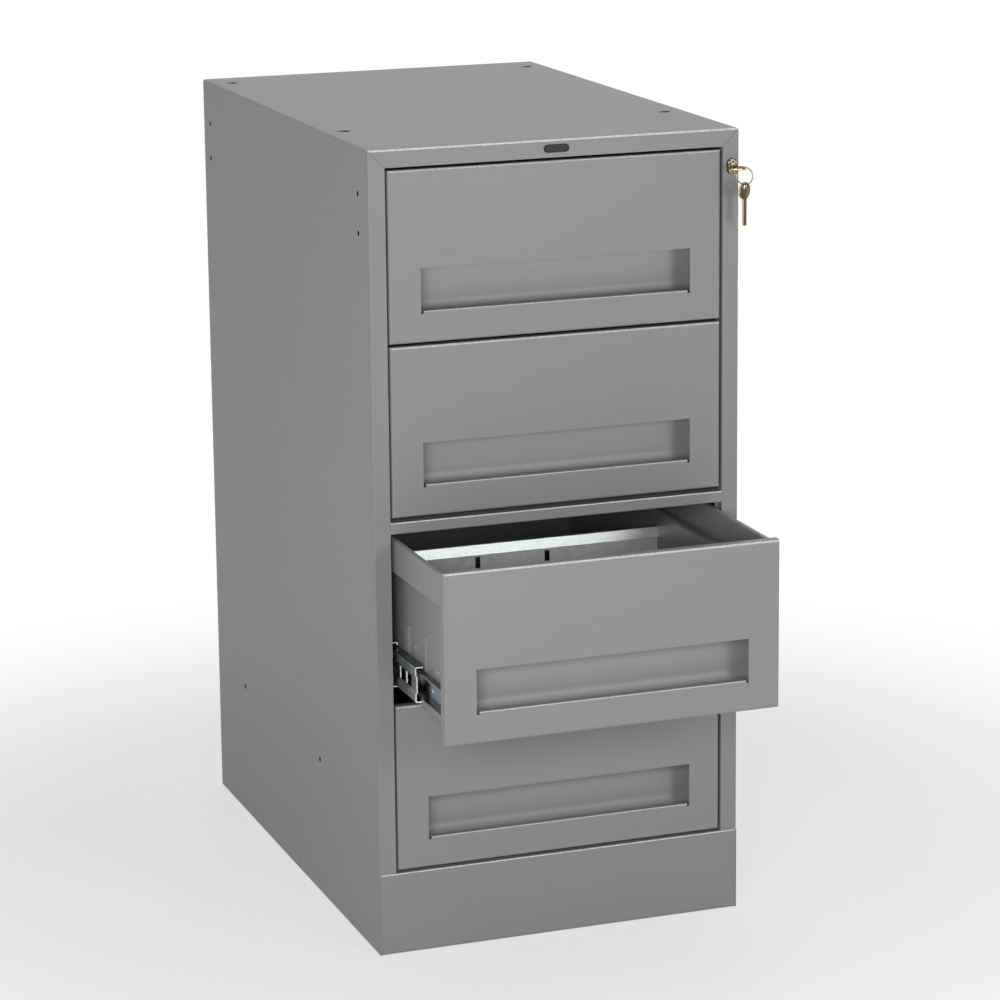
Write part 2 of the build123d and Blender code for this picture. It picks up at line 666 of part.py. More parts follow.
def lock_clip():
    """Fork that slides over the barrel's groove and holds it against the flange."""
    left = OPENING_HALF + SHEET + CLIP_GAP - LOCK_X
    right = INNER_HALF - SEAM - LOCK_X
    depth = (SHEET, SHEET + CLIP_THICKNESS)
    plate = block((left, right), depth, (-CLIP_HEIGHT / 2, CLIP_HEIGHT / 2))
    slot = BARREL_RADIUS - CLIP_GROOVE + RIVET_CLEARANCE
    plate -= rod_y((0, BARREL_LENGTH), 0, 0, slot)
    plate -= block((-slot, slot), (0, BARREL_LENGTH), (-CLIP_HEIGHT, 0))
    return lock_axis() * plate


def lock_plug():
    """Turning plug with its key slot and the square tail that carries the cam."""
    length = BARREL_LENGTH + CAGE_GAP
    plug = rod_y((-LOCK_FACE_PROUD - PLUG_PROUD, length), 0, 0, PLUG_RADIUS)
    wide = BLADE_WIDTH / 2 + KEYWAY_CLEARANCE
    thick = KEY_THICKNESS / 2 + KEYWAY_CLEARANCE
    keyway = block((-wide, wide), (-2 * LOCK_FACE_PROUD, BLADE_LENGTH - NECK), (-thick, thick))
    half = TAIL_WIDTH / 2
    tail = block((-half, half), (length, length + CAM_THICKNESS + TAIL_PROUD), (-half, half))
    return lock_axis() * (plug - keyway + tail)


def lock_cam():
    """Cam plate on the plug's tail, with the pin that lowers the lock bar."""
    pin_x = -CAM_RADIUS * math.cos(CAM_SWING)
    pin_z = CAM_RADIUS * math.sin(CAM_SWING)
    start = BARREL_LENGTH + CAGE_GAP
    depth = (start, start + CAM_THICKNESS)
    hub = rod_y(depth, 0, 0, CAM_HUB_RADIUS)
    arm = rod_y(depth, pin_x, pin_z, CAM_PIN_RADIUS + CAM_ARM_EDGE)
    half = TAIL_WIDTH / 2
    plate = hub + arm - block((-half, half), depth, (-half, half))
    pin_end = start + CAM_THICKNESS + BAR_GAP + BAR_THICKNESS + TAIL_PROUD
    return lock_axis() * (plate + rod_y((start, pin_end), pin_x, pin_z, CAM_PIN_RADIUS))


def hook_bottom(number):
    """Height of a hook's lower edge on the bar, in the unlocked position."""
    bottom = drawer_bottom(number)
    ledge = bottom + FRONT_HEIGHT - BOX_TOP_DROP - UPPER_STRIP
    return ledge - HOOK_HEIGHT - HOOK_DROP


def lock_bar():
    """Flat bar behind the right flange, with a slot for the cam's pin and one hook to a drawer."""
    left = BAR_RIGHT - BAR_WIDTH
    depth = (BAR_Y, BAR_Y + BAR_THICKNESS)
    pin_z = LOCK_Z + CAM_RADIUS * math.sin(CAM_SWING)
    bar = block((left, BAR_RIGHT), depth, (hook_bottom(DRAWER_COUNT) - BAR_TAIL, pin_z + BAR_HEAD))
    pin_x = LOCK_X - CAM_RADIUS
    room = CAM_PIN_RADIUS + PIN_SLOT_CLEARANCE
    slot = (pin_x - room, pin_x + PIN_SLOT_RUN + room)
    bar -= block(slot, depth, (pin_z - room, pin_z + room))
    for number in range(1, DRAWER_COUNT + 1):
        low = hook_bottom(number)
        bar += block((left - HOOK_REACH, left), depth, (low, low + HOOK_HEIGHT))
    return bar


def lock_bar_guides():
    """Folded clips on the right side wall, which the lock bar slides through."""
    guides = []
    for number in (1, UPPER_DRAWER_COUNT, DRAWER_COUNT):
        level = drawer_bottom(number) + GUIDE_LIFT
        x = (BAR_RIGHT - BAR_WIDTH, INNER_HALF)
        y = (BAR_Y - CAGE_GAP - SHEET, BAR_Y + BAR_THICKNESS + CAGE_GAP + SHEET)
        clip = block(x, y, (level, level + GUIDE_HEIGHT))
        room = (y[0] + SHEET, y[1] - SHEET)
        guides.append(clip - block((x[0] - 1, x[1] - SHEET), room, (level - 1, level + GUIDE_HEIGHT + 1)))
    return guides


def key():
    """Flat key, drawn with its bow in the XY plane and its blade towards +Y."""
    bow_y = -NECK - BOW_HEIGHT / 2
    bow = Pos(0, bow_y) * Ellipse(BOW_WIDTH / 2, BOW_HEIGHT / 2)
    blade_start = bow_y + BOW_HEIGHT / 4
    blade_end = BLADE_LENGTH - NECK
    blade = Pos(0, (blade_start + blade_end) / 2) * Rectangle(BLADE_WIDTH, blade_end - blade_start)
    outline = bow + blade - Pos(0, key_hole_y()) * Circle(KEY_HOLE_RADIUS)
    for index, depth in enumerate(KEY_CUTS):
        place = Pos(BLADE_WIDTH / 2, KEY_CUT_START + KEY_CUT_PITCH * index) * Rotation(0, 0, 45)
        outline -= place * Rectangle(depth, depth)
    tip = Pos(BLADE_WIDTH / 2, BLADE_LENGTH - NECK) * Rotation(0, 0, 45) * Rectangle(KEY_TIP, KEY_TIP)
    return Pos(0, 0, -KEY_THICKNESS / 2) * extrude(outline - tip, amount=KEY_THICKNESS)


def key_hole_y():
    """Centre of the key's hole, from the lock face end of the blade, along the key."""
    return -NECK - BOW_HEIGHT + KEY_HOLE_EDGE + KEY_HOLE_RADIUS


def key_place():
    """The key in the lock: its bow lies flat and stands out of the plug."""
    return lock_axis() * Pos(0, -LOCK_FACE_PROUD, 0)


def ring_place():
    """Middle of the key ring, which hangs through the hole of the key in the lock."""
    side = RING_SWING_OUT * math.sqrt(0.5)
    top = KEY_THICKNESS / 2 + HANG_GAP
    drop = RING_RADIUS - RING_WIRE - top
    return key_place() * Pos(side, key_hole_y() - side, -drop) * Rot(0, 0, -45)


def key_ring():
    """Wire ring; its plane holds the vertical and the diagonal out to the front right."""
    return ring_place() * Rot(90, 0, 0) * Torus(RING_RADIUS, RING_WIRE)


def spare_key():
    """Second key, hung from the bottom of the ring with its blade down."""
    wire_z = -RING_RADIUS
    hole_z = wire_z - (KEY_HOLE_RADIUS - RING_WIRE - HANG_GAP)
    turn = Rot(0, 0, -90 - SPARE_KEY_TWIST)
    upright_key = turn * Rot(-90, 0, 0) * Pos(0, -key_hole_y(), 0) * key()
    return ring_place() * Pos(0, 0, hole_z) * upright_key


def build():
    """Write every node."""
    os.makedirs("parts", exist_ok=True)
    save("cabinet_shell", cabinet_shell())
    save("back_panel", back_panel())
    save("base_pan", base_pan())
    save("kick_plate", kick_plate())
    save("middle_rail", middle_rail())
    for side in ("left", "right"):
        for name, place in zip(("front", "rear"), UPRIGHT_PLACES):
            save(f"slide_upright_{name}_{side}", upright(side, place))
    save("slide_rivets", cabinet_rivets())
    save("badge", badge())
    save("lock_housing", lock_housing())
    save("lock_clip", lock_clip())
    save("lock_bar_guides", lock_bar_guides())
    save("lock_plug", lock_plug())
    save("lock_cam", lock_cam())
    save("key_in_lock", key_place() * key())
    save("key_ring", key_ring())
    save("spare_key", spare_key())
    save("lock_bar", lock_bar())
    for number in range(1, DRAWER_COUNT + 1):
        save(f"drawer_{number}_front", drawer_front(number))
        save(f"drawer_{number}_pull", drawer_pull(number))
        save(f"drawer_{number}_box", drawer_box(number))
        save(f"drawer_{number}_rivets", drawer_rivets(number))
        save(f"slide_{number}_outer_members", place_slide(rivet_holes(outer_member()), number, 0))
        save(f"slide_{number}_outer_cages", place_slide(outer_cage(), number, 0.25, CAGE_SETBACK))
        save(f"slide_{number}_middle_members", place_slide(middle_member(), number, 0.5))
        save(f"slide_{number}_inner_cages", place_slide(inner_cage(), number, 0.75, CAGE_SETBACK))
        save(f"slide_{number}_inner_members", place_slide(rivet_holes(inner_member()), number, 1))
    save(f"drawer_{OPEN_DRAWER}_divider", drawer_divider())


build()
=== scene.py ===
import math

import bmesh
import bpy
from mathutils import Matrix, Vector


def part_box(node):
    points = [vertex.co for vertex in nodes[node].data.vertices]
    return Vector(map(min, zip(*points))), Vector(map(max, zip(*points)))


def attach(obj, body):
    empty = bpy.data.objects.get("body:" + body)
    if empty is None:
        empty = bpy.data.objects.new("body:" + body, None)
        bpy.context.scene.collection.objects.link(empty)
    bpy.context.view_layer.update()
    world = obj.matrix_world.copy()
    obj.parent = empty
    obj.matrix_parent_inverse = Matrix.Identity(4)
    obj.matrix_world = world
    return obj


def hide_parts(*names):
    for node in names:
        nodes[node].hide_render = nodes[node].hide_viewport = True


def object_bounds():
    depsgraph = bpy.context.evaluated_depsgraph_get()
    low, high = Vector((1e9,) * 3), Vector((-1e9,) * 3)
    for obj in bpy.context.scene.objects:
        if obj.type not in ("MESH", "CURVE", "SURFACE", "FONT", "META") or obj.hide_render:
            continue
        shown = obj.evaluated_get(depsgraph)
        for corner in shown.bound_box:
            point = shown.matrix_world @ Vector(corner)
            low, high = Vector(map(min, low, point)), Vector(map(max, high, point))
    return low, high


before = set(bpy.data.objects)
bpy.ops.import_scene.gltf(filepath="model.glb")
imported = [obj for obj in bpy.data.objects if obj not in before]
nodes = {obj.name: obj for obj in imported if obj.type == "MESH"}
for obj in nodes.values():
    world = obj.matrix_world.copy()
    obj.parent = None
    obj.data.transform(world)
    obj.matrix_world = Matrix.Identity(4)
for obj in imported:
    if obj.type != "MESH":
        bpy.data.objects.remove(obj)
cad_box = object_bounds()


# Cabinet shell. The top and both sides are folded from one sheet of 1.2 mm mild steel, and the
# flanges that frame the drawers meet it in mitres at the top corners. It is powder coated in a
# neutral grey: an even, half-glossy skin with the slight orange peel that the powder leaves.
def linear(code):
    """An sRGB hex colour as linear values."""
    parts = [int(code[place:place + 2], 16) / 255 for place in (1, 3, 5)]
    plain = [part / 12.92 if part <= 0.04045 else ((part + 0.055) / 1.055) ** 2.4 for part in parts]
    return plain + [1.0]


def add_node(tree, kind, inputs=None, **settings):
    """One shader node, with its own settings and with a value or a link on each named input."""
    added = tree.nodes.new(kind)
    for name, value in settings.items():
        setattr(added, name, value)
    for name, value in (inputs or {}).items():
        if isinstance(value, bpy.types.NodeSocket):
            tree.links.new(value, added.inputs[name])
        else:
            added.inputs[name].default_value = value
    return added


def begin_finish(name, roughness, metallic=0.0):
    """A new material, with its node tree, its shader and the object's own coordinates."""
    finish = bpy.data.materials.new(name)
    finish.use_nodes = True
    tree = finish.node_tree
    shader = tree.nodes["Principled BSDF"]
    shader.inputs["Roughness"].default_value = roughness
    shader.inputs["Metallic"].default_value = metallic
    place = add_node(tree, "ShaderNodeTexCoord").outputs["Object"]
    return finish, tree, shader, place


def facing_axes(tree):
    """The surface's direction, split along the three axes."""
    normal = add_node(tree, "ShaderNodeNewGeometry").outputs["Normal"]
    return add_node(tree, "ShaderNodeSeparateXYZ", {"Vector": normal}).outputs


def dress(names, finish):
    """Gives a finish to the frame's own pieces."""
    for name in names:
        for slot in nodes[name].material_slots:
            slot.material = finish


# The grain of the real coat and the speckle of the painted highlight on its bends are finer than the
# render can show, so they are drawn about as wide as one of its pixels.
cloud_width = 0.12
peel_width = 0.0032
grain_width = 0.001
highlight_speckle_width = 0.0016
relief_depth = 0.0002


def powder_coat(name, shade, shade_worn, painted_bend_highlight=1.0):
    """Grey powder coat: cloudy by a hair, with orange peel and a fine grain.

    Bends that face up and forward are painted lighter: a painted highlight, broken by a fine speckle."""
    finish, tree, shader, place = begin_finish(name, 0.42)
    shader.inputs["Specular IOR Level"].default_value = 0.4
    clouds = add_node(tree, "ShaderNodeTexNoise", {"Vector": place, "Scale": 1 / cloud_width,
                                                 "Detail": 3.0})
    shades = add_node(tree, "ShaderNodeMix", {"Factor": clouds.outputs["Fac"], "A": linear(shade),
                                              "B": linear(shade_worn)}, data_type="RGBA")
    facing = facing_axes(tree)
    bend = add_node(tree, "ShaderNodeMath", {0: facing["Y"], 1: facing["Z"]}, operation="MULTIPLY")
    painted_highlight_bends = add_node(tree, "ShaderNodeMapRange", {"Value": bend.outputs["Value"], "From Min": -0.12,
                                                    "From Max": -0.42})
    highlight_speckle = add_node(tree, "ShaderNodeTexNoise", {"Vector": place, "Scale": 1 / highlight_speckle_width,
                                                    "Detail": 1.0})
    broken = add_node(tree, "ShaderNodeMapRange", {"Value": highlight_speckle.outputs["Fac"], "From Min": 0.35,
                                                   "From Max": 0.6, "To Min": 0.55 * painted_bend_highlight,
                                                   "To Max": painted_bend_highlight})
    # Painted highlight: bends that face up and forward are mixed towards near white.
    shine = add_node(tree, "ShaderNodeMath", {0: painted_highlight_bends.outputs["Result"], 1: broken.outputs["Result"]},
                     operation="MULTIPLY")
    lit = add_node(tree, "ShaderNodeMix", {"Factor": shine.outputs["Value"], "A": shades.outputs["Result"],
                                           "B": linear("#f2f2f2")}, data_type="RGBA")
    tree.links.new(lit.outputs["Result"], shader.inputs["Base Color"])
    peel = add_node(tree, "ShaderNodeTexNoise", {"Vector": place, "Scale": 1 / peel_width,
                                                 "Detail": 1.0})
    grain = add_node(tree, "ShaderNodeTexNoise", {"Vector": place, "Scale": 1 / grain_width,
                                                  "Detail": 2.0})
    gloss = add_node(tree, "ShaderNodeMapRange", {"Value": grain.outputs["Fac"], "From Min": 0.3,
                                                  "From Max": 0.7, "To Min": 0.38, "To Max": 0.46})
    tree.links.new(gloss.outputs["Result"], shader.inputs["Roughness"])
    height = add_node(tree, "ShaderNodeMath", {0: peel.outputs["Fac"], 1: grain.outputs["Fac"]},
                      operation="ADD")
    relief = add_node(tree, "ShaderNodeBump", {"Height": height.outputs["Value"], "Strength": 0.10,
                                               "Distance": relief_depth})
    tree.links.new(relief.outputs["Normal"], shader.inputs["Normal"])
    return finish


def between(tree, value, low, high):
    """A node that gives 1 where a value, taken without its sign, lies between two limits."""
    size = add_node(tree, "ShaderNodeMath", {0: value}, operation="ABSOLUTE")
    return add_node(tree, "ShaderNodeMath", {0: size.outputs["Value"], 1: (low + high) / 2,
                                             2: (high - low) / 2}, operation="COMPARE")


def paint_hole_shade(finish, corner, sheet):
    """Paints shade, nearly black, on the walls of the holes through the top and the sides.

    A hole's wall lies within the sheet, well inside the panel's edges, and faces along the panel."""
    tree = finish.node_tree
    coat = tree.nodes["Principled BSDF"].inputs["Base Color"]
    own_place = add_node(tree, "ShaderNodeTexCoord").outputs["Object"]
    place = add_node(tree, "ShaderNodeSeparateXYZ", {"Vector": own_place}).outputs
    facing = facing_axes(tree)
    edge_room = 0.01
    across = corner.x - edge_room
    along = corner.y - edge_room
    side_tests = [(place["X"], corner.x - sheet, corner.x), (facing["X"], 0, 0.5),
                  (place["Y"], 0, along), (place["Z"], edge_room, corner.z - edge_room)]
    top_tests = [(place["Z"], corner.z - sheet, corner.z), (facing["Z"], 0, 0.5),
                 (place["Y"], 0, along), (place["X"], 0, across)]
    for tests in (side_tests, top_tests):
        found = [between(tree, *test).outputs["Value"] for test in tests]
        wall = found[0]
        for other in found[1:]:
            both = add_node(tree, "ShaderNodeMath", {0: wall, 1: other}, operation="MULTIPLY")
            wall = both.outputs["Value"]
        # Painted shade: the hole walls are mixed to nearly black.
        shown = add_node(tree, "ShaderNodeMix", {"Factor": wall, "A": coat.links[0].from_socket,
                                                 "B": linear("#141414")}, data_type="RGBA")
        tree.links.new(shown.outputs["Result"], coat)


# The coat's bends that face up and forward carry a painted highlight.
cabinet_paint = powder_coat("grey_powder_coat_cabinet", "#898989", "#8c8c8b")
shell_paint = powder_coat("grey_powder_coat_shell", "#898989", "#8c8c8b")
sheet_and_skin = 0.0013
paint_hole_shade(shell_paint, Vector(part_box("cabinet_shell")[1]), sheet_and_skin)
dress(["cabinet_shell"], shell_paint)


# Base pan, kick plate, middle rail and back panel. Each is folded from the same sheet, spot welded
# inside the shell and coated with it, so they carry the same grey powder coat.
dress(["base_pan", "kick_plate", "middle_rail", "back_panel"], cabinet_paint)


# Uprights. Four hat channels of 1.5 mm hot-dip galvanised steel, welded behind the flanges and
# near the back. The zinc has set in flat crystals, each with its own grey and its own dullness.
upright_crystal = 0.008
speckle_width = 0.0009


def galvanised_sheet(name, dark, pale, crystal, metallic, rubbed=0.0):
    """Galvanised steel with crystals of a given width.

    Folds that face up may be rubbed bright, which leaves them pale with a fine speckle."""
    finish, tree, shader, place = begin_finish(name, 0.4, metallic)
    cells = add_node(tree, "ShaderNodeTexVoronoi", {"Vector": place, "Scale": 1 / crystal,
                                                    "Randomness": 1.0})
    split = add_node(tree, "ShaderNodeSeparateColor", {"Color": cells.outputs["Color"]})
    tint = add_node(tree, "ShaderNodeMix", {"Factor": split.outputs["Red"], "A": linear(dark),
                                            "B": linear(pale)}, data_type="RGBA")
    dull = add_node(tree, "ShaderNodeMapRange", {"Value": split.outputs["Green"], "To Min": 0.28,
                                                 "To Max": 0.5})
    tree.links.new(dull.outputs["Result"], shader.inputs["Roughness"])
    if not rubbed:
        tree.links.new(tint.outputs["Result"], shader.inputs["Base Color"])
        return finish
    facing = facing_axes(tree)
    on_fold = add_node(tree, "ShaderNodeMapRange", {"Value": facing["Z"], "From Min": 0.1,
                                                    "From Max": 0.25, "To Max": rubbed})
    speckle = add_node(tree, "ShaderNodeTexNoise", {"Vector": place, "Scale": 1 / speckle_width,
                                                    "Detail": 2.0})
    grain = add_node(tree, "ShaderNodeMapRange", {"Value": speckle.outputs["Fac"], "From Min": 0.35,
                                                  "From Max": 0.6})
    worn = add_node(tree, "ShaderNodeMix", {"Factor": grain.outputs["Result"], "A": linear("#c4c8c9"),
                                            "B": linear("#dee1e1")}, data_type="RGBA")
    bright = add_node(tree, "ShaderNodeMix", {"Factor": on_fold.outputs["Result"],
                                              "A": tint.outputs["Result"], "B": worn.outputs["Result"]},
                      data_type="RGBA")
    sheen = add_node(tree, "ShaderNodeMix", {"Factor": on_fold.outputs["Result"],
                                             "A": dull.outputs["Result"], "B": 0.43})
    tree.links.new(sheen.outputs["Result"], shader.inputs["Roughness"])
    metal = add_node(tree, "ShaderNodeMapRange", {"Value": on_fold.outputs["Result"], "To Min": metallic})
    tree.links.new(bright.outputs["Result"], shader.inputs["Base Color"])
    tree.links.new(metal.outputs["Result"], shader.inputs["Metallic"])
    return finish


upright_zinc = galvanised_sheet("galvanised_steel_uprights", "#8f9294", "#b3b6b8", upright_crystal, 1.0)
for end in ("front", "rear"):
    dress([f"slide_upright_{end}_left", f"slide_upright_{end}_right"], upright_zinc)


# Telescopic slides. Cold-rolled members, bright zinc plated and passivated, which gives the metal
# a mirror-like skin with long rolling streaks and a faint blue-green cast.
streaks_to_a_metre = (900.0, 14.0, 900.0)
bloom_width = 0.022


def zinc_plate(name, pale, cast):
    """Bright zinc plate, streaked along the member. Faces that look forward, the sheared front ends among
    them, are painted near white: bare steel in part, a painted highlight in the main.
    """
    finish, tree, shader, place = begin_finish(name, 0.24, 1.0)
    stretch = add_node(tree, "ShaderNodeMapping", {"Vector": place, "Scale": streaks_to_a_metre})
    streaks = add_node(tree, "ShaderNodeTexNoise", {"Vector": stretch.outputs["Vector"], "Scale": 1.0,
                                                    "Detail": 2.0})
    blooms = add_node(tree, "ShaderNodeTexNoise", {"Vector": place, "Scale": 1 / bloom_width,
                                                   "Detail": 2.0})
    patch = add_node(tree, "ShaderNodeMapRange", {"Value": blooms.outputs["Fac"], "From Min": 0.45,
                                                  "From Max": 0.65})
    tint = add_node(tree, "ShaderNodeMix", {"Factor": patch.outputs["Result"], "A": linear(pale),
                                            "B": linear(cast)}, data_type="RGBA")
    facing = facing_axes(tree)
    # Painted highlight: faces towards the front turn near white and lose most of their metal.
    front_face_highlight = add_node(tree, "ShaderNodeMapRange", {"Value": facing["Y"], "From Min": -0.6,
                                                   "From Max": -0.9})
    sheared_and_highlit = add_node(tree, "ShaderNodeMix", {"Factor": front_face_highlight.outputs["Result"],
                                               "A": tint.outputs["Result"], "B": linear("#fafbfb")},
                       data_type="RGBA")
    metal = add_node(tree, "ShaderNodeMapRange", {"Value": front_face_highlight.outputs["Result"], "To Min": 1.0,
                                                  "To Max": 0.1})
    tree.links.new(metal.outputs["Result"], shader.inputs["Metallic"])
    gloss = add_node(tree, "ShaderNodeMapRange", {"Value": streaks.outputs["Fac"], "From Min": 0.3,
                                                  "From Max": 0.7, "To Min": 0.16, "To Max": 0.32})
    tree.links.new(sheared_and_highlit.outputs["Result"], shader.inputs["Base Color"])
    tree.links.new(gloss.outputs["Result"], shader.inputs["Roughness"])
    return finish


member_zinc = zinc_plate("zinc_plated_slide_steel", "#6f7173", "#5a6869")
for number in range(1, 5):
    dress([f"slide_{number}_{member}_members" for member in ("outer", "middle", "inner")], member_zinc)


# Ball cages and balls. Strip steel cages, plated like the members, hold hardened chrome steel balls.
# Both are paler than the members, so they show as small bright spots inside the slides.
cage_steel = zinc_plate("bright_cage_steel", "#b8b9bb", "#a6abae")
for number in range(1, 5):
    dress([f"slide_{number}_outer_cages", f"slide_{number}_inner_cages"], cage_steel)


# Rivets. Cold-headed steel rivets join the slides to the uprights and the drawers. Their zinc plate
# is paler than that of the members, so their heads stand out from the webs.
rivet_zinc = zinc_plate("zinc_plated_rivets", "#cfd2d3", "#b9c4c6")
dress(["slide_rivets"] + [f"drawer_{number}_rivets" for number in range(1, 5)], rivet_zinc)


# Drawer fronts and boxes. Fronts are folded pans with a window for the pull; boxes are 1 mm sheet
# with stepped sides and hemmed tops. All are coated in the same grey powder.
# The drawers' up-and-forward bends get a weaker painted highlight.
drawer_paint = powder_coat("grey_powder_coat_drawers", "#8a8a8a", "#8d8d8c", painted_bend_highlight=0.7)
for number in range(1, 5):
    dress([f"drawer_{number}_front", f"drawer_{number}_box"], drawer_paint)


# Pulls. A wide-radius channel is welded behind each window, and fingers reach over the window's
# turned-in lip into it. It is coated with the front, but its grey is set a little lighter than the front's
# as painted light in the recess, and its curves get no painted highlight.
# Painted light: a lighter copy of the front's grey, to brighten the recess.
pull_paint = powder_coat("grey_powder_coat_pulls", "#929292", "#969695", painted_bend_highlight=0.0)
dress([f"drawer_{number}_pull" for number in range(1, 5)], pull_paint)


# Marks pressed in the drawers' side walls. Two beads stiffen each wall above its slide, and two small
# lances beside them locate the slide while it is riveted on. They are the wall's own sheet, pushed
# outwards by less than a millimetre and coated with it.
bead_places = ((0.0795, 0.0885, 0.050, 0.084), (0.130, 0.147, 0.0545, 0.082))
lance_places = ((0.111, 0.122, 0.060, 0.068), (0.042, 0.064, 0.052, 0.061))
bead_proud = 0.0006
bead_corner = 0.001
lance_proud = 0.0004
lance_corner = 0.0035
side_wall = 0.1604
same_level = 0.000001
smooth_below = math.radians(40)


def pick_edges(piece, wanted):
    """Selects only the edges of a piece in edit mode for which wanted(end, other end) is true."""
    shape = bmesh.from_edit_mesh(piece.data)
    for edge in shape.edges:
        edge.select_set(False)
    for edge in shape.edges:
        ends = [corner.co for corner in edge.verts]
        if wanted(ends[0], ends[1]):
            edge.select_set(True)
    bmesh.update_edit_mesh(piece.data)


def pressed_mark(place, proud, corner_radius):
    """One mark on the left wall of the first drawer, with rounded corners and a soft edge.

    Its place is its front and back end behind the drawer's front, then its low and high edge."""
    near, far, low, high = place
    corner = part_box("drawer_1_front")[0]
    face = -side_wall - proud / 2
    bpy.ops.object.select_all(action="DESELECT")
    bpy.ops.mesh.primitive_cube_add(size=1, location=(face, corner[1] + (near + far) / 2,
                                                      corner[2] + (low + high) / 2))
    mark = bpy.context.object
    mark.scale = (1.5 * proud, far - near, high - low)
    bpy.ops.object.transform_apply(location=True, rotation=True, scale=True)
    bpy.ops.object.mode_set(mode="EDIT")
    bpy.ops.mesh.select_mode(type="EDGE")
    outer = min(vertex.co.x for vertex in bmesh.from_edit_mesh(mark.data).verts)
    pick_edges(mark, lambda a, b: abs(a.x - b.x) > proud)
    bpy.ops.mesh.bevel(offset=corner_radius, segments=4, affect="EDGES")
    pick_edges(mark, lambda a, b: max(abs(a.x - outer), abs(b.x - outer)) < same_level)
    bpy.ops.mesh.bevel(offset=0.7 * proud, segments=2, affect="EDGES")
    bpy.ops.object.mode_set(mode="OBJECT")
    return mark


marks = [pressed_mark(place, bead_proud, bead_corner) for place in bead_places]
marks += [pressed_mark(place, lance_proud, lance_corner) for place in lance_places]
bpy.ops.object.select_all(action="DESELECT")
for mark in marks:
    mark.select_set(True)
bpy.context.view_layer.objects.active = marks[0]
bpy.ops.object.join()
first_marks = bpy.context.object
bpy.ops.object.shade_smooth_by_angle(angle=smooth_below)
first_marks.data.materials.append(drawer_paint)


def twin(piece, name, move, mirrored=False):
    """A copy with its own mesh, moved, and turned right side out again where it is mirrored."""
    copy = bpy.data.objects.new(name, piece.data.copy())
    bpy.context.scene.collection.objects.link(copy)
    copy.data.transform(move)
    if mirrored:
        copy.data.flip_normals()
    return copy


first_corner = Vector(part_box("drawer_1_front")[0])
for number in range(1, 5):
    shift = Matrix.Translation(Vector(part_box(f"drawer_{number}_front")[0]) - first_corner)
    left_marks = twin(first_marks, f"drawer_{number}_marks_left", shift)
    right_marks = twin(left_marks, f"drawer_{number}_marks_right", Matrix.Scale(-1, 4, (1, 0, 0)), True)
    for side_marks in (left_marks, right_marks):
        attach(side_marks, f"drawer_{number}")
bpy.data.objects.remove(first_marks)


# Divider. A plain galvanised sheet that slots into the open drawer. Handling has rubbed its hemmed
# top edge bright.
divider_crystal = 0.006
divider_zinc = galvanised_sheet("galvanised_steel_divider", "#d2d3d4", "#dfe0e1", divider_crystal, 0.1,
                                rubbed=1.0)
dress(["drawer_3_divider"], divider_zinc)


# Badge. A blank plate moulded in black ABS and pressed into the header. It looks nearly black, with a
# faint sheen broken by fine scuffs, which are drawn coarser than they are.
scuff_width = 0.0018


def plain_finish(name, shade, roughness, metallic=0.0, specular=0.5):
    """One colour with a fine variation in its gloss, as polished or moulded pieces have."""
    finish, tree, shader, place = begin_finish(name, roughness, metallic)
    shader.inputs["Specular IOR Level"].default_value = specular
    shader.inputs["Base Color"].default_value = linear(shade)
    scuffs = add_node(tree, "ShaderNodeTexNoise", {"Vector": place, "Scale": 1 / scuff_width,
                                                   "Detail": 3.0})
    gloss = add_node(tree, "ShaderNodeMapRange", {"Value": scuffs.outputs["Fac"], "From Min": 0.3,
                                                  "From Max": 0.7, "To Min": roughness * 0.7,
                                                  "To Max": roughness * 1.3})
    tree.links.new(gloss.outputs["Result"], shader.inputs["Roughness"])
    return finish


dress(["badge"], plain_finish("black_abs_badge", "#070708", 0.3, specular=0.2))


# Lock. A die-cast housing with an oval face and a turning plug, both nickel plated, with painted
# reflections and painted shade round the rim. The clip, cam, bar and guides sit behind the flange: the
# clip is spring steel, the others are zinc plated.
casting_width = 0.0016


def nickel_painted_shade_and_reflection(name, dark_patches, high):
    """Nickel over a rough casting, mottled dark and bright at random as a painted reflection, with painted
    shade round its rim.
    """
    finish, tree, shader, place = begin_finish(name, 0.25, 1.0)
    cast = add_node(tree, "ShaderNodeTexNoise", {"Vector": place, "Scale": 1 / casting_width,
                                                 "Detail": 2.0})
    # Painted reflection: dark and bright patches at random across the nickel.
    rubbed = add_node(tree, "ShaderNodeMapRange", {"Value": cast.outputs["Fac"], "From Min": 0.42,
                                                   "From Max": 0.58})
    skin = add_node(tree, "ShaderNodeMix", {"Factor": rubbed.outputs["Result"], "A": linear(dark_patches),
                                            "B": linear(high)}, data_type="RGBA")
    facing = facing_axes(tree)
    # Painted shade: faces round the rim are mixed towards a dark brown.
    rim_painted_shade = add_node(tree, "ShaderNodeMapRange", {"Value": facing["Y"], "From Min": -0.98,
                                                   "From Max": -0.85})
    shown = add_node(tree, "ShaderNodeMix", {"Factor": rim_painted_shade.outputs["Result"],
                                             "A": skin.outputs["Result"], "B": linear("#2a251e")},
                     data_type="RGBA")
    tree.links.new(shown.outputs["Result"], shader.inputs["Base Color"])
    return finish


dress(["lock_housing"], nickel_painted_shade_and_reflection("nickel_plated_housing", "#3d372f", "#9a9486"))
dress(["lock_plug"], nickel_painted_shade_and_reflection("nickel_plated_plug", "#857f72", "#d8d3c6"))
dress(["lock_clip"], plain_finish("bright_spring_steel", "#b4b6b8", 0.3, 1.0))
dress(["lock_cam", "lock_bar", "lock_bar_guides"], member_zinc)


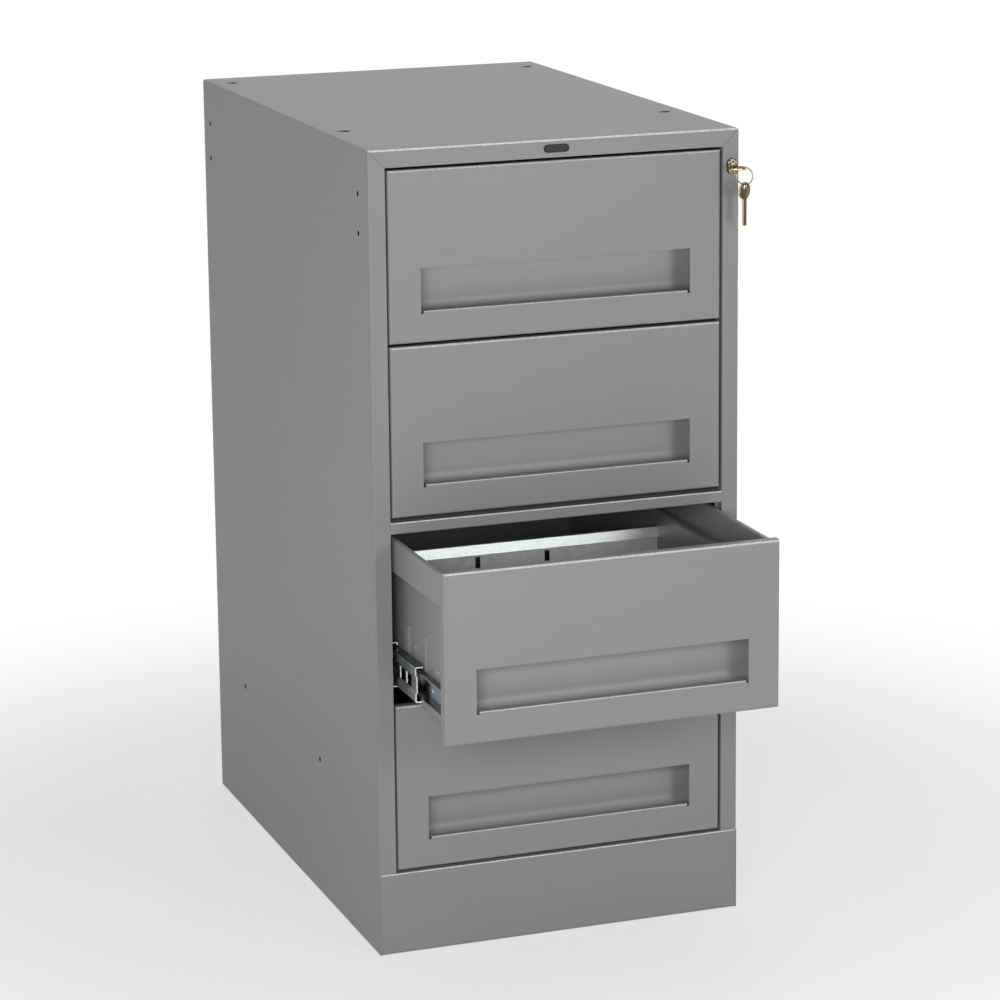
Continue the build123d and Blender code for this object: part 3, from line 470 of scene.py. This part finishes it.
# Keys. Two flat keys stamped from sheet brass: the faces have gone dull and brown with handling,
# and the rims and the bitting are rubbed bright. One turns with the plug, one hangs from the ring.
key_edge = 0.0003
same_spot = 0.00001
flat_enough = math.radians(2)
sharp_from = math.radians(35)
face_cosine = 0.97
dull_brass = plain_finish("handled_brass_faces", "#3e3018", 0.5, 0.25, specular=0.15)
bright_brass = plain_finish("rubbed_brass_edges", "#c2a973", 0.26, 1.0)


def worked_copy(name, node, edge):
    """A frame piece's own shape as one skin, with its sharp edges rounded."""
    piece = bpy.data.objects.new(name, nodes[node].data.copy())
    bpy.context.scene.collection.objects.link(piece)
    bpy.ops.object.select_all(action="DESELECT")
    piece.select_set(True)
    bpy.context.view_layer.objects.active = piece
    bpy.ops.object.mode_set(mode="EDIT")
    bpy.ops.mesh.select_all(action="SELECT")
    bpy.ops.mesh.remove_doubles(threshold=same_spot)
    bpy.ops.mesh.dissolve_limited(angle_limit=flat_enough)
    bpy.ops.mesh.normals_make_consistent(inside=False)
    bpy.ops.object.mode_set(mode="OBJECT")
    rounding = piece.modifiers.new("rounding", "BEVEL")
    rounding.width = edge
    rounding.segments = 2
    rounding.limit_method = "ANGLE"
    rounding.angle_limit = sharp_from
    bpy.ops.object.modifier_apply(modifier="rounding")
    bpy.ops.object.shade_smooth_by_angle(angle=sharp_from)
    return piece


for node, body in (("key_in_lock", "lock_plug"), ("spare_key", "spare_key")):
    brass_key = worked_copy(f"{node}_worked", node, key_edge)
    flat = max(brass_key.data.polygons, key=lambda face: face.area).normal.copy()
    brass_key.data.materials.clear()
    brass_key.data.materials.append(dull_brass)
    brass_key.data.materials.append(bright_brass)
    for face in brass_key.data.polygons:
        face.material_index = 0 if abs(face.normal.dot(flat)) > face_cosine else 1
    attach(brass_key, body)
    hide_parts(node)


# Key ring. A split ring coiled from brass-plated spring wire, which has dulled to a greenish gold:
# two turns that lie side by side, with their ends left open so that a key can be worked on.
ring_wire = 0.00045
ring_pitch = 0.00092
ring_inset = 0.0007
ring_sweep = math.radians(700)
ring_turn = (math.radians(90), 0, math.radians(135))
ring_low, ring_high = (Vector(corner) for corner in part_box("key_ring"))
ring_radius = (ring_high.z - ring_low.z) / 2 - ring_inset
bpy.ops.object.select_all(action="DESELECT")
bpy.ops.mesh.primitive_circle_add(vertices=10, radius=ring_wire, location=(ring_radius, 0, -ring_pitch),
                                  rotation=(math.pi / 2, 0, 0))
split_ring = bpy.context.object
split_ring.name = "split_ring"
bpy.ops.object.transform_apply(location=True, rotation=True, scale=True)
coil = split_ring.modifiers.new("coil", "SCREW")
coil.angle = ring_sweep
coil.screw_offset = 2 * ring_pitch
coil.steps = coil.render_steps = 144
bpy.ops.object.modifier_apply(modifier="coil")
bpy.ops.object.mode_set(mode="EDIT")
bpy.ops.mesh.select_all(action="SELECT")
bpy.ops.mesh.fill_holes(sides=0)
bpy.ops.mesh.select_all(action="SELECT")
bpy.ops.mesh.normals_make_consistent(inside=False)
bpy.ops.object.mode_set(mode="OBJECT")
split_ring.rotation_euler = ring_turn
split_ring.location = (ring_low + ring_high) / 2
bpy.ops.object.transform_apply(location=True, rotation=True, scale=True)
bpy.ops.object.shade_smooth_by_angle(angle=math.radians(50))
split_ring.data.materials.append(plain_finish("brass_plated_wire", "#8f8363", 0.24, 1.0))
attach(split_ring, "key_ring")
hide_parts("key_ring")


# Studio. A pale floor that keeps the soft shadow and turns white further out, a white surround, and
# soft lamps: a small key lamp at the front, level with the lock, wider ones in front, at the left, the
# right and the back, and the widest above.
floor_width = 12.0
floor_drop = 0.0004
bpy.ops.object.select_all(action="DESELECT")
bpy.ops.mesh.primitive_plane_add(size=floor_width, location=(0, 0, cad_box[0][2] - floor_drop))
floor = bpy.context.object
floor.name = "studio_floor"
floor_finish, floor_tree, floor_shader, floor_place = begin_finish("pale_floor", 0.9)
floor_shader.inputs["Base Color"].default_value = linear("#ededed")
floor_light = add_node(floor_tree, "ShaderNodeLightPath")
floor_white = add_node(floor_tree, "ShaderNodeEmission", {"Color": (1, 1, 1, 1), "Strength": 1.0})
seen = add_node(floor_tree, "ShaderNodeMath", {0: floor_light.outputs["Is Camera Ray"],
                                               1: floor_light.outputs["Is Glossy Ray"]},
                operation="MAXIMUM")
seen_all = add_node(floor_tree, "ShaderNodeMath", {0: seen.outputs["Value"],
                                                   1: floor_light.outputs["Is Transmission Ray"]},
                    operation="MAXIMUM")
reach = add_node(floor_tree, "ShaderNodeVectorMath", {0: floor_place}, operation="LENGTH")
near = add_node(floor_tree, "ShaderNodeMapRange", {"Value": reach.outputs["Value"], "From Min": 0.45,
                                                   "From Max": 1.1, "To Min": 0.6, "To Max": 1.0},
                interpolation_type="SMOOTHSTEP")
share = add_node(floor_tree, "ShaderNodeMath", {0: seen_all.outputs["Value"], 1: near.outputs["Result"]},
                 operation="MULTIPLY")
floor_mix = add_node(floor_tree, "ShaderNodeMixShader", {"Fac": share.outputs["Value"],
                                                         1: floor_shader.outputs["BSDF"],
                                                         2: floor_white.outputs["Emission"]})
floor_tree.links.new(floor_mix.outputs["Shader"], floor_tree.nodes["Material Output"].inputs["Surface"])
floor.data.materials.append(floor_finish)

world = bpy.data.worlds.new("white_surround")
bpy.context.scene.world = world
world.use_nodes = True
sky = world.node_tree
sky_light = add_node(sky, "ShaderNodeLightPath")
sky_seen = add_node(sky, "ShaderNodeMath", {0: sky_light.outputs["Is Camera Ray"],
                                            1: sky_light.outputs["Is Transmission Ray"]},
                    operation="MAXIMUM")
sky_any = add_node(sky, "ShaderNodeMath", {0: sky_seen.outputs["Value"],
                                           1: sky_light.outputs["Is Glossy Ray"]},
                   operation="MAXIMUM")
sky_level = add_node(sky, "ShaderNodeMapRange", {"Value": sky_any.outputs["Value"], "To Min": 0.15,
                                                 "To Max": 1.0})
surround = sky.nodes["Background"]
surround.inputs["Color"].default_value = (1, 1, 1, 1)
sky.links.new(sky_level.outputs["Result"], surround.inputs["Strength"])


def soft_lamp(name, place, target, size, power):
    """An area lamp with a width and a height, aimed at its target; its power is in watts."""
    lamp = bpy.data.lights.new(name, "AREA")
    lamp.shape = "RECTANGLE"
    lamp.size, lamp.size_y = size
    lamp.energy = power
    holder = bpy.data.objects.new(name, lamp)
    bpy.context.scene.collection.objects.link(holder)
    holder.location = place
    aim = (Vector(target) - Vector(place)).to_track_quat("-Z", "Y")
    holder.rotation_euler = aim.to_euler()


soft_lamp("lamp_key", (0.5, -1.7, 0.8), (0, -0.4, 0.5), (0.4, 0.4), 5)
soft_lamp("lamp_near_left", (-0.9, -1.9, 0.8), (0, -0.4, 0.4), (0.7, 0.7), 16.5)
soft_lamp("lamp_near_low", (0.5, -1.5, 0.35), (0, -0.4, 0.35), (0.6, 0.6), 0.5)
soft_lamp("lamp_left_floor", (-1.5, -0.4, 0.15), (0, -0.2, 0.2), (0.8, 0.2), 1.1)
soft_lamp("lamp_above", (0.2, 0.1, 2.8), (0, 0, 0.8), (1.6, 1.6), 15.5)
soft_lamp("lamp_right", (2.6, 0.4, 0.37), (0, 0, 0.4), (1.0, 0.7), 12)
soft_lamp("lamp_back", (0.8, 2.6, 0.37), (0, 0, 0.4), (1.0, 0.7), 13)


# Camera. It stands at the front left, half a metre above the cabinet's top. Its place and its lens
# were fitted to corners read off the photograph.
camera_place = (-1.2187, -3.4936, 1.299)
focal_pixels = 3618.1
photo_pixels = 1000
sensor = 36.0
lens = bpy.data.cameras.new("photo_camera")
lens.sensor_width = sensor
lens.lens = focal_pixels * sensor / photo_pixels
lens.shift_y = -0.1
lens.clip_start = 0.05
lens.clip_end = 60
camera = bpy.data.objects.new("photo_camera", lens)
bpy.context.scene.collection.objects.link(camera)
right = Vector((0.93967, -0.34194, -0.009898))
down = Vector((-0.082476, -0.198378, -0.976649))
forward = right.cross(down)
turn = Matrix((right, -down, -forward)).transposed()
camera.matrix_world = Matrix.Translation(camera_place) @ turn.to_4x4()
bpy.context.scene.camera = camera
bpy.context.scene.view_settings.view_transform = "Standard"
